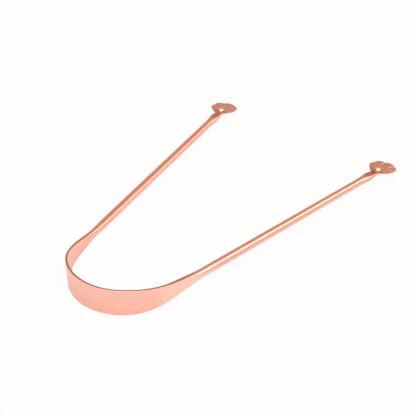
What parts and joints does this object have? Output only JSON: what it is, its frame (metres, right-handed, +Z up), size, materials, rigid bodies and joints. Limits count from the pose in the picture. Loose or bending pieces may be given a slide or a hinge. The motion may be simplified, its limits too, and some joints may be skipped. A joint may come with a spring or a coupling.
{
  "type": "tongue scraper",
  "caption": "U-shaped copper tongue scraper: thin upright scraping band, round spreading arms, scalloped finger rests riveted to the ends.",
  "frame": {"origin": "middle of the bottom of the whole scraper's bounding box: in the middle plane, level with the lower edge of the band", "axes": "+X to the right arm, across the U; +Y from the bow towards the finger rests; +Z up, along the band's height"},
  "size_m": [0.0892, 0.1392, 0.0109],
  "materials": {
    "band": "polished copper with fine rolling lines",
    "arm": "polished drawn copper rod",
    "finger_rest": "pressed copper, slightly darker in the grooves",
    "rivet": "bright polished copper"
  },
  "bodies": {
    "blade": {"scraper_blade": "band", "left_flexure": "band", "right_flexure": "band"},
    "left_arm": {"left_handle": "arm", "left_finger_rest": "finger_rest", "left_rivet": "rivet"},
    "right_arm": {"right_handle": "arm", "right_finger_rest": "finger_rest", "right_rivet": "rivet"}
  },
  "joints": [
    {"name": "left_arm_flex", "type": "hinge", "parent": "blade", "child": "left_arm", "pos_m": [-0.01396, -0.0639, 0.00545], "axis": [0, 0, -1], "range_deg": [-5, 8], "stiffness_Nm_per_rad": 2.1, "deforming": ["left_flexure"]},
    {"name": "right_arm_flex", "type": "hinge", "parent": "blade", "child": "right_arm", "pos_m": [0.01396, -0.0639, 0.00545], "axis": [0, 0, 1], "range_deg": [-5, 8], "stiffness_Nm_per_rad": 2.1, "deforming": ["right_flexure"]}
  ]
}
